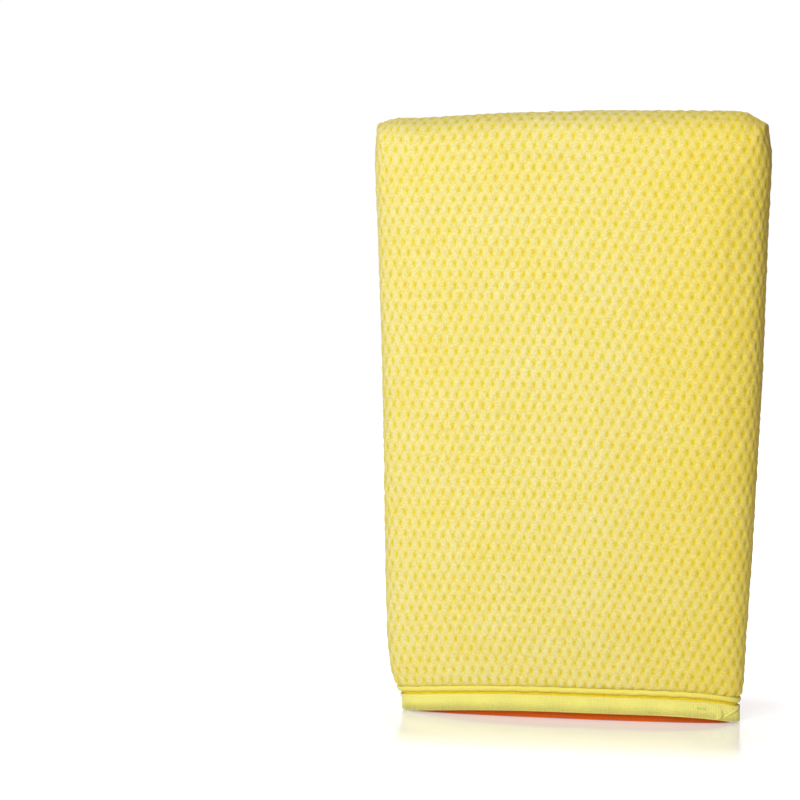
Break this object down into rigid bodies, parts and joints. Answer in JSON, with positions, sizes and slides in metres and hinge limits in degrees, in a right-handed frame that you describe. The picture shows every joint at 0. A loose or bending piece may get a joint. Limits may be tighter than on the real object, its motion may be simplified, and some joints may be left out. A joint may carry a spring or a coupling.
{
  "type": "clay mitt",
  "caption": "Soft clay mitt standing on its cuff: yellow waffle cloth front, orange clay polymer back, foam padding, hand pocket and ribbed elastic cuff.",
  "frame": {"origin": "under the middle of the mitt, on the plane it stands on", "axes": "+Z from the cuff mouth to the fingertip end, +X across the width, -Y out of the waffle face, +Y out of the clay face"},
  "size_m": [0.1474, 0.03, 0.2299],
  "materials": {
    "waffle_microfibre": "yellow waffle-weave microfibre pile, matt",
    "clay_polymer": "orange clay elastomer, fine texture, satin",
    "backing_cloth": "orange knitted backing cloth, matt",
    "lining_cloth": "orange polyester lining, matt",
    "foam": "open-cell sponge foam, matt",
    "ribbed_tape": "ribbed elastic tape, slight sheen",
    "piping_cloth": "smooth knitted cloth over cord",
    "sewing_thread": "spun polyester thread"
  },
  "bodies": {
    "root": {"waffle_front_panel": "waffle_microfibre", "front_foam_pad": "foam", "front_lining": "lining_cloth", "back_lining": "lining_cloth", "clay_foam_pad": "foam", "clay_backing_cloth": "backing_cloth", "clay_polymer_face": "clay_polymer", "seam_allowance": "waffle_microfibre", "perimeter_seam_thread": "sewing_thread", "cuff_band": "ribbed_tape", "cuff_stitch_row": "sewing_thread", "cuff_piping": "piping_cloth", "mouth_facing": "lining_cloth", "band_end_tab": "ribbed_tape", "band_bartack": "sewing_thread"}
  },
  "joints": []
}
